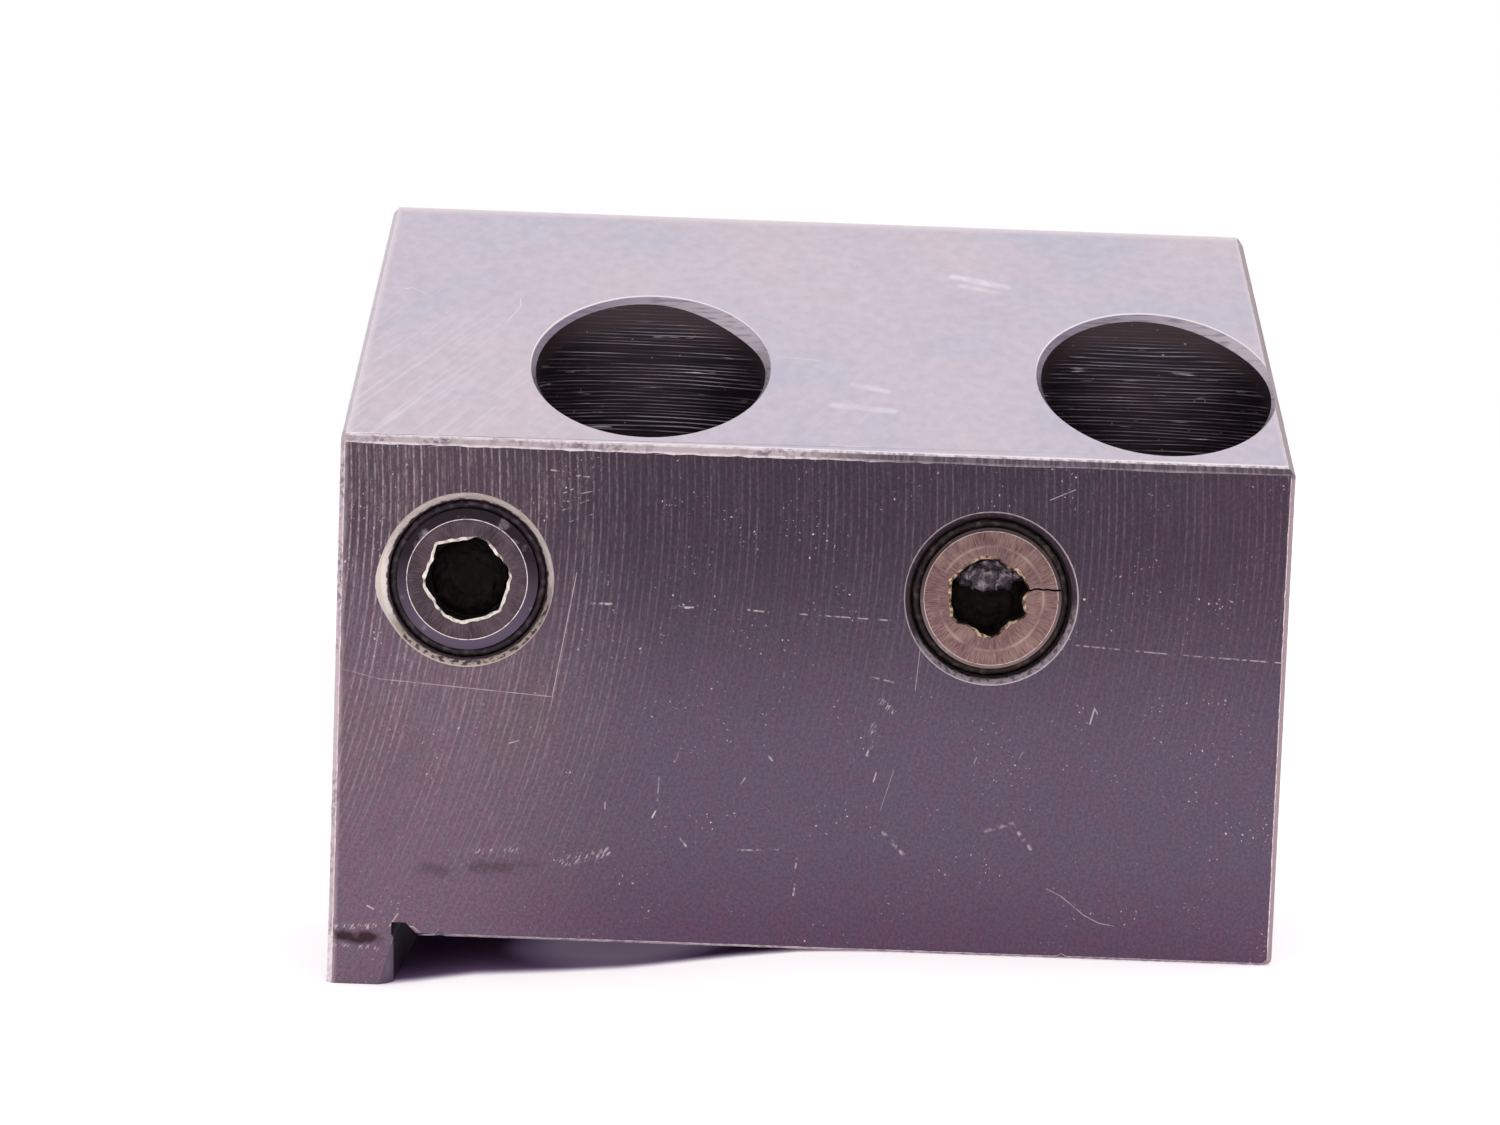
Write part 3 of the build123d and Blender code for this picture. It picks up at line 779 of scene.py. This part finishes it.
# A closed body around an axis along Y: each level is a depth and a radius, which may vary round it
def turnedBody(name, centre, levels):
    deselect()
    bpy.ops.mesh.primitive_circle_add(vertices=screwSize["segments"], radius=1, fill_type="NGON")
    piece = bpy.context.object
    piece.name = name
    piece.data.transform(Matrix.Rotation(math.radians(90), 4, "X"))
    middleX, middleZ = 0, 0
    for number, (depth, radius) in enumerate(levels):
        bpy.ops.object.mode_set(mode="EDIT")
        if number == 0:
            bpy.ops.mesh.select_all(action="SELECT")
        else:
            bpy.ops.mesh.extrude_region_move(TRANSFORM_OT_translate={"value": (0, 0.001, 0)})
        bpy.ops.object.mode_set(mode="OBJECT")
        for vertex in piece.data.vertices:
            if vertex.select:
                angle = math.atan2(vertex.co.z - middleZ, vertex.co.x - middleX)
                reach = radius(angle) if callable(radius) else radius
                vertex.co = (
                    (centre + reach * math.cos(angle)) / 1000,
                    (screwSize["face"] + depth) / 1000,
                    blockSize["crossLevel"] + reach * math.sin(angle) / 1000,
                )
        middleX, middleZ = centre / 1000, blockSize["crossLevel"]
    bpy.ops.object.mode_set(mode="EDIT")
    leaveClosed()
    return piece


def cutAway(piece, cutter):
    cut = piece.modifiers.new("cut", "BOOLEAN")
    cut.operation = "DIFFERENCE"
    cut.solver = "EXACT"
    cut.object = cutter
    pickUp(piece)
    bpy.ops.object.modifier_apply(modifier=cut.name)
    bpy.data.objects.remove(cutter)


def makeThread(screw):
    start = screwSize["headHeight"] + screwSize["collar"] - 1
    deselect()
    bpy.ops.mesh.primitive_plane_add(size=2)
    thread = bpy.context.object
    thread.name = screw["node"] + "_thread"
    bpy.ops.object.mode_set(mode="EDIT")
    bpy.ops.mesh.delete(type="ONLY_FACE")
    leaveEdit()
    # the square's four corners become one pitch of the flank: root, crest, crest, root
    low, high, pitch = screwSize["rootRadius"], screwSize["shankRadius"] - 0.02, screwSize["pitch"]
    outline = ((low, 0.0), (high, 0.40), (high, 0.58), (low, 0.98))
    corners = sorted(thread.data.vertices, key=lambda v: math.atan2(v.co.y, v.co.x))
    for vertex, (reach, share) in zip(corners, outline):
        vertex.co = (reach / 1000, (start - pitch + share * pitch) / 1000, 0)
    # and the side from the last to the first is left open
    ends = {corners[0].index, corners[3].index}
    for edge in thread.data.edges:
        if set(edge.vertices) == ends:
            edge.select = True
    bpy.ops.object.mode_set(mode="EDIT")
    bpy.ops.mesh.select_mode(type="EDGE")
    bpy.ops.mesh.delete(type="EDGE")
    bpy.ops.object.mode_set(mode="OBJECT")
    winding = thread.modifiers.new("winding", "SCREW")
    winding.axis = "Y"
    winding.screw_offset = pitch / 1000
    winding.iterations = math.ceil((screwSize["length"] - start) / pitch) + 2
    winding.steps = winding.render_steps = 48
    winding.use_merge_vertices = True
    winding.merge_threshold = 0.00002
    bpy.ops.object.modifier_apply(modifier=winding.name)
    for vertex in thread.data.vertices:
        depth = vertex.co.y * 1000
        reach = math.hypot(vertex.co.x, vertex.co.z) * 1000
        allowed = screwSize["shankRadius"] - max(0, depth - screwSize["length"] + screwSize["tipBreak"])
        if reach > allowed:
            vertex.co.x *= allowed / reach
            vertex.co.z *= allowed / reach
    bpy.ops.object.mode_set(mode="EDIT")
    for level, side in ((start, 1), (screwSize["length"] - 0.01, -1)):
        bpy.ops.mesh.select_all(action="SELECT")
        bpy.ops.mesh.bisect(
            plane_co=(0, level / 1000, 0), plane_no=(0, -side, 0), clear_outer=True, use_fill=True
        )
    leaveClosed()
    thread.data.transform(
        Matrix.Translation((screw["centre"] / 1000, screwSize["face"] / 1000, blockSize["crossLevel"]))
    )
    return thread


def makeCrack(screw):
    path = screw["crack"]
    deselect()
    bpy.ops.mesh.primitive_cube_add(size=2)
    cutter = bpy.context.object
    clearChoice(cutter.data)
    for edge in cutter.data.edges:
        first, second = (cutter.data.vertices[number].co for number in edge.vertices)
        edge.select = abs(first.x - second.x) > 1
    bpy.ops.object.mode_set(mode="EDIT")
    bpy.ops.mesh.select_mode(type="EDGE")
    bpy.ops.mesh.subdivide(number_cuts=len(path) - 2)
    bpy.ops.object.mode_set(mode="OBJECT")
    for vertex in cutter.data.vertices:
        side, up = path[round((vertex.co.x + 1) / 2 * (len(path) - 1))]
        vertex.co = (
            (screw["centre"] + side) / 1000,
            (screwSize["face"] + (screw["crackDepth"] if vertex.co.y > 0 else -1)) / 1000,
            blockSize["crossLevel"] + (up + vertex.co.z * screw["crackWidth"] / 2) / 1000,
        )
    return cutter


# Which finish of the screw a face has, by how far it lies from the axis and how deep
def screwFinish(screw, face):
    across = face.center.x * 1000 - screw["centre"]
    up = (face.center.z - blockSize["crossLevel"]) * 1000
    reach = math.hypot(across, up)
    depth = face.center.y * 1000 - screwSize["face"]
    mouth = mouthRadius(screw["mouth"], math.atan2(up, across))
    if depth > screwSize["pointDepth"] or reach > screw["ring"] + 0.1:
        return "side"
    if depth < 0.01:
        return "face"
    if depth < screwSize["rimDepth"] and abs(reach - mouth) < 0.6:
        return "rim"
    if depth < 0.1 and reach > screw["ring"] - 0.12:
        return "edge"
    return "socket"


def makeScrew(screw, finishes):
    size = screwSize
    neck = size["headHeight"] + size["collar"]
    piece = turnedBody(screw["node"] + "_turned", screw["centre"], [
        (0, screw["ring"] - 0.05), (0.03, screw["ring"] + 0.05),
        (screw["taper"] / 2, size["headRadius"]), (size["headHeight"] - 0.3, size["headRadius"]),
        (size["headHeight"], size["headRadius"] - 0.3), (size["headHeight"], size["shankRadius"]),
        (neck, size["shankRadius"] - 0.03), (neck + 0.5, size["rootRadius"] - 0.3),
    ])

    def ragged(angle):
        return mouthRadius(screw["mouth"], angle) + size["burr"] * math.sin(23 * angle)

    def hexagon(angle):
        inside = ragged(angle) - size["lip"] - size["lipRipple"] * math.sin(7 * angle + 2)
        return min(hexRadius(screw["turn"], screw["worn"], angle), inside)

    socket = turnedBody("socket_cutter", screw["centre"], [
        (-0.5, ragged), (0.02, ragged), (size["rimDepth"], hexagon), (size["socketDepth"], hexagon),
        (size["socketDepth"] + 0.01, size["flatRadius"] - 0.02), (size["pointDepth"], 0.05),
    ])
    cutAway(piece, socket)
    if "crack" in screw:
        cutAway(piece, makeCrack(screw))
    thread = makeThread(screw)
    slots = list(finishes)
    for finish in finishes.values():
        piece.data.materials.append(finish)
        thread.data.materials.append(finish)
    for face in piece.data.polygons:
        face.material_index = slots.index(screwFinish(screw, face))
    for face in thread.data.polygons:
        face.material_index = slots.index("side")
    pickUp(piece)
    thread.select_set(True)
    bpy.ops.object.join()
    bpy.ops.object.shade_smooth_by_angle(angle=math.radians(28))
    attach(piece, screw["body"])
    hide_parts(screw["node"])


# Turned alloy steel, blackened: the face is smooth, with short radial marks and a ring of the tool
def screwFace(name, screw, look):
    material, add, position, x, _, z = startMaterial(name)
    flat, reach = aroundAxis(add, x, z, screw["centre"] / 1000)
    cloud = grainOf(add, position, 330, 4)
    unit = add("VectorMath NORMALIZE", (flat,))
    around = add("VectorMath ADD", (unit, add("CombineXYZ", {"Z": reach})))
    grain = grainOf(add, around, (60, 60, 900), 3)
    strokes = add("MapRange", (grain, 0.5, 0.7))
    strokes = add("Math MULTIPLY", (strokes, look["strokes"]))
    offRing = add("Math SUBTRACT", (reach, look["ringAt"]))
    offRing = add("Math ABSOLUTE", (offRing,))
    ring = add("MapRange", (offRing, 0.00028, 0.00004, 0, look["ring"]))
    faint = add("MapRange", (cloud, 0.35, 0.6))
    ring = add("Math MULTIPLY", (ring, faint))
    marks = add("Math MAXIMUM", (strokes, ring))
    colour = paintOver(
        add, srgb(look["dark"]), ((cloud, 0.4, 0.65), look["light"]),
        ((grain, 0.46, 0.32, 0, look["scores"]), look["scored"]), (marks, look["rubbed"]),
    )
    return closeMaterial(material, colour, 0.38, marks, 0.00003, 0.85)


# Head's side and shank of the screw: blackened and oily, with painted reflection: the upper part dark, the
# lower part lighter as if mirroring the pale table
def screwSide(name, upper, lower):
    material, add, position, _, _, z = startMaterial(name)
    cloud = grainOf(add, position, 320, 3)
    # painted reflection: lighter towards the bottom
    level = add("MapRange", (z, blockSize["crossLevel"] + 0.003, blockSize["crossLevel"] - 0.006))
    spots = add("MapRange", (cloud, 0.6, 0.72, 0, 0.5))
    colour = paintOver(add, srgb(upper), (level, lower), (spots, "#b9aab3"))
    return closeMaterial(material, colour, 0.35, cloud, 0.00003, 0.85)


# Edge of the socket, burred and rubbed bright by the key
def burredRim(name, bright, dull, clean):
    material, add, position, *_ = startMaterial(name)
    grit = grainOf(add, position, 1500, 3)
    colour = paintOver(add, srgb(bright), ((grit, clean, clean + 0.16), dull))
    return closeMaterial(material, colour, 0.33, grit, 0.00012, 0.9)


# Inside of the socket: black oxide under old grease, painted near-black as shade, with rust in one corner
def socketInside(name, screw, rustAt, rustSize):
    material, add, position, *_ = startMaterial(name)
    lumps = grainOf(add, position, 700, 4)
    place = (
        (screw["centre"] + rustAt[0]) / 1000, (screwSize["face"] + 2) / 1000,
        blockSize["crossLevel"] + rustAt[1] / 1000,
    )
    gap = add("VectorMath DISTANCE", (position, place), "Value")
    near = add("MapRange", (gap, rustSize / 1000, rustSize / 2500))
    rust = add("Math MULTIPLY", (near, add("MapRange", (lumps, 0.45, 0.6))))
    greased = add("MapRange", (lumps, 0.62, 0.74, 0, 0.8))
    # the near-black base is painted shade in the deep socket
    colour = paintOver(add, srgb("#1c1617"), (greased, "#5e4f54"), (rust, "#7c4c30"))
    return closeMaterial(material, colour, 0.7, lumps, 0.0002, 0.0, 0.12)


makeScrew(leftScrew, {
    "face": screwFace("left head, blackened turned face", leftScrew, {
        "dark": "#45383f", "light": "#5b4b52", "rubbed": "#83737a", "strokes": 0.3,
        "ringAt": 0.0071, "ring": 0.15, "scored": "#2e252b", "scores": 0.4,
    }),
    # upper and lower colour of the painted reflection on the head's side
    "side": screwSide("left head, blackened rim, painted reflection", "#2c2229", "#5a5062"),
    "rim": burredRim("left socket rim, burred bright", "#f0e5de", "#a89895", 0.5),
    "socket": socketInside("left socket, greased, painted shade black", leftScrew, (1.7, 4.0), 2.6),
    "edge": burredRim("left head edge, rubbed", "#e6dbd8", "#a3949a", 0.5),
})
makeScrew(rightScrew, {
    "face": screwFace("right head, turned face rubbed brown", rightScrew, {
        "dark": "#735659", "light": "#8b706b", "rubbed": "#b39a8e", "strokes": 0.35,
        "ringAt": 0.0066, "ring": 0.7, "scored": "#4c3733", "scores": 0.7,
    }),
    # upper and lower colour of the painted reflection on the head's side
    "side": screwSide("right head, blackened side, painted reflection", "#4a3c40", "#7b6b6d"),
    "rim": burredRim("right socket rim, slipped bright", "#c9b094", "#5d473b", 0.42),
    "socket": socketInside("right socket, greased, painted shade black", rightScrew, (-3.6, -1.5), 2.2),
    "edge": burredRim("right head edge, rubbed", "#c4ada2", "#8f7870", 0.5),
})
print("stage: screws")

# Packed swarf and grease: a lump in the upper half of the right socket; a thin near-black layer on both
# bottoms, which is painted shade
debrisLook = (
    {"name": "right_socket_debris", "screw": rightScrew, "middle": (-0.45, 3.1), "depth": 3.1,
     "half": (4.5, 1.5, 2.25), "swell": 0.65, "finish": ("#4a3e49", "#a4949c", 0.5, 0.5)},
    {"name": "right_socket_grease_shade", "screw": rightScrew, "middle": (0, 0), "depth": 5.1,
     "half": (4.9, 0.5, 4.9), "swell": 0.18, "finish": ("#120b0b", "#221616", 0, 0.08)},
    {"name": "left_socket_grease_shade", "screw": leftScrew, "middle": (0, 0), "depth": 4.9,
     "half": (4.9, 0.5, 4.9), "swell": 0.18, "finish": ("#110c0c", "#241a1a", 0, 0.08)},
)
# Dirt packed round each head, in the gap to the hole. Millimetres
gapDirt = (
    {"name": "left_gap_dirt", "screw": leftScrew, "finish": ("#3c3038", "#6d5e64", 0, 0.3)},
    {"name": "right_gap_dirt", "screw": rightScrew, "finish": ("#392d2e", "#6d5c52", 0, 0.3)},
)
gapSize = {"reach": 9.39, "thick": 0.48, "depth": 2.0, "lumps": 0.10, "drift": 3.0}


def packedDirt(name, dark, light, metallic, specular):
    material, add, position, *_ = startMaterial(name)
    lumps = grainOf(add, position, 900, 4)
    colour = paintOver(add, srgb(dark), ((lumps, 0.5, 0.68), light))
    return closeMaterial(material, colour, 0.55, lumps, 0.0002, metallic, specular)


# Lays dirt in its finish on a screw, which carries it along
def layOn(piece, look):
    piece.name = look["name"]
    piece.data.materials.append(packedDirt(look["name"], *look["finish"]))
    bpy.ops.object.shade_smooth()
    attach(piece, look["screw"]["body"])


def makeDebris(look):
    deselect()
    bpy.ops.mesh.primitive_ico_sphere_add(subdivisions=6, radius=1)
    piece = bpy.context.object
    middle = Vector((
        look["screw"]["centre"] + look["middle"][0], screwSize["face"] + look["depth"],
        blockSize["crossLevel"] * 1000 + look["middle"][1],
    ))
    for vertex in piece.data.vertices:
        shape = Vector([length * half for length, half in zip(vertex.co, look["half"])])
        shape += vertex.co.normalized() * noise.fractal(shape * 0.9, 0.9, 2.1, 4) * look["swell"]
        vertex.co = (middle + shape) / 1000
    layOn(piece, look)


def makeGapDirt(look):
    deselect()
    bpy.ops.mesh.primitive_torus_add(
        major_segments=200, minor_segments=14, major_radius=gapSize["reach"], minor_radius=gapSize["thick"],
        rotation=(math.radians(90), 0, 0),
    )
    bpy.ops.object.transform_apply(location=False, rotation=True, scale=False)
    piece = bpy.context.object
    middle = Vector((
        look["screw"]["centre"], screwSize["face"] + gapSize["depth"], blockSize["crossLevel"] * 1000,
    ))
    for vertex in piece.data.vertices:
        ring = Vector((vertex.co.x, 0, vertex.co.z)).normalized() * gapSize["reach"]
        lump = noise.fractal(vertex.co * 1.7, 0.9, 2.1, 3)
        across = vertex.co - ring
        across.y += gapSize["drift"] * gapSize["lumps"] * noise.noise(ring * 0.6)
        vertex.co = (middle + ring + across * (1 + gapSize["lumps"] * lump)) / 1000
    layOn(piece, look)


for dirt in debrisLook:
    makeDebris(dirt)
for dirt in gapDirt:
    makeGapDirt(dirt)
print("stage: debris")


# 1 for what the camera sees itself, mirrored in metal or through glass
def seenDirectly(add):
    path = add("LightPath").node
    rays = [path.outputs["Is %s Ray" % kind] for kind in ("Camera", "Glossy", "Transmission")]
    return chain(add, "Math MAXIMUM", rays)


# The paper is bowed: it lies under the lip's foot and rises to the seat. Millimetres, across and up
floorLine = (
    (-2000, 0), (-51.6, 0), (-46, 0.9), (-41.5, 1.6), (-31.5, 2.3), (-21.4, 3.2), (-14, 4.3),
    (-6.3, 5.4), (0, 6.1), (6, 6.4), (12, 6.49), (2000, 6.49),
)


def makeFloor():
    deselect()
    bpy.ops.mesh.primitive_grid_add(x_subdivisions=800, y_subdivisions=2, size=3)
    floor = bpy.context.object
    floor.name = "table"
    for vertex in floor.data.vertices:
        rise = 0
        for (start, low), (end, high) in zip(floorLine, floorLine[1:]):
            if start <= vertex.co.x * 1000 < end:
                share = (vertex.co.x * 1000 - start) / (end - start)
                rise = low + (high - low) * share
        vertex.co = (vertex.co.x, vertex.co.y + 0.3, rise / 1000)
    material, add, position, x, y, _ = startMaterial("white table")
    # under the block the paper is painted a dark violet shade and glows no more
    sides = []
    for way, half in ((x, blockSize["right"]), (y, blockSize["back"])):
        away = add("Math ABSOLUTE", (way,))
        sides.append(add("Math SUBTRACT", (away, half)))
    outside = add("Math MAXIMUM", sides)
    paintedLight = add("MapRange", (outside, -0.004, 0.001), interpolation_type="SMOOTHSTEP")
    # a painted pool of light where light falls through the bores
    for bore in blockSize["bores"]:
        place = (bore, blockSize["boreRow"], 0.004)
        apart = add("VectorMath DISTANCE", (position, place), "Value")
        spot = add("MapRange", (apart, 0.018, 0.010, 0, 0.3))
        paintedLight = add("Math MAXIMUM", (paintedLight, spot))
    # the violet paper and glow colours are painted shade under the block
    paper = add("BsdfDiffuse", (paintOver(add, srgb("#9a7aa8"), (paintedLight, "#fcf8f9")),))
    strength = chain(add, "Math MULTIPLY", (seenDirectly(add), 0.45, paintedLight))
    glow = add("Emission", (paintOver(add, srgb("#8a5fa6"), (paintedLight, "#fff8fa")), strength))
    add("OutputMaterial", (add("AddShader", (paper, glow)),))
    floor.data.materials.append(material)


lampSize = {"place": Vector((0.05, 0.25, 0.9)), "aim": Vector((0, 0, 0.04)), "width": 0.9, "power": 0.5}


def makeLights():
    world = bpy.data.worlds.new("light tent")
    bpy.context.scene.world = world
    world.use_nodes = True
    world.node_tree.nodes.clear()
    add = partial(addNode, world.node_tree)
    strength = add("MapRange", (seenDirectly(add), 0, 1, 0.9, 1.0))
    add("OutputWorld", (add("Background", ((1, 1, 1, 1), strength)),))
    bpy.ops.object.light_add(type="AREA", location=lampSize["place"])
    lamp = bpy.context.object
    lamp.name = "overhead box"
    lamp.data.size = lampSize["width"]
    lamp.data.energy = lampSize["power"]
    toBlock = lampSize["aim"] - lampSize["place"]
    lamp.rotation_euler = toBlock.to_track_quat("-Z", "Y").to_euler()


# Fitted to the corners of the block: millimetres for the lens and its film, metres for the place
cameraFit = {
    "lens": 74.6, "film": 36, "place": (-0.009017, -0.415701, 0.087242),
    "right": (0.99934406, 0.00058323, 0.03620936), "up": (-0.03613669, 0.08137938, 0.99602788),
    "back": (-0.00236578, -0.99668303, 0.08134708),
}


def makeCamera():
    data = bpy.data.cameras.new("camera")
    camera = bpy.data.objects.new("camera", data)
    bpy.context.scene.collection.objects.link(camera)
    bpy.context.scene.camera = camera
    data.sensor_width = cameraFit["film"]
    data.lens = cameraFit["lens"]
    data.clip_start = 0.01
    turn = Matrix((cameraFit["right"], cameraFit["up"], cameraFit["back"])).transposed().to_4x4()
    camera.matrix_world = Matrix.Translation(cameraFit["place"]) @ turn


makeFloor()
makeLights()
makeCamera()
bpy.context.scene.view_settings.view_transform = "Standard"
print("stage: table, lights and camera")
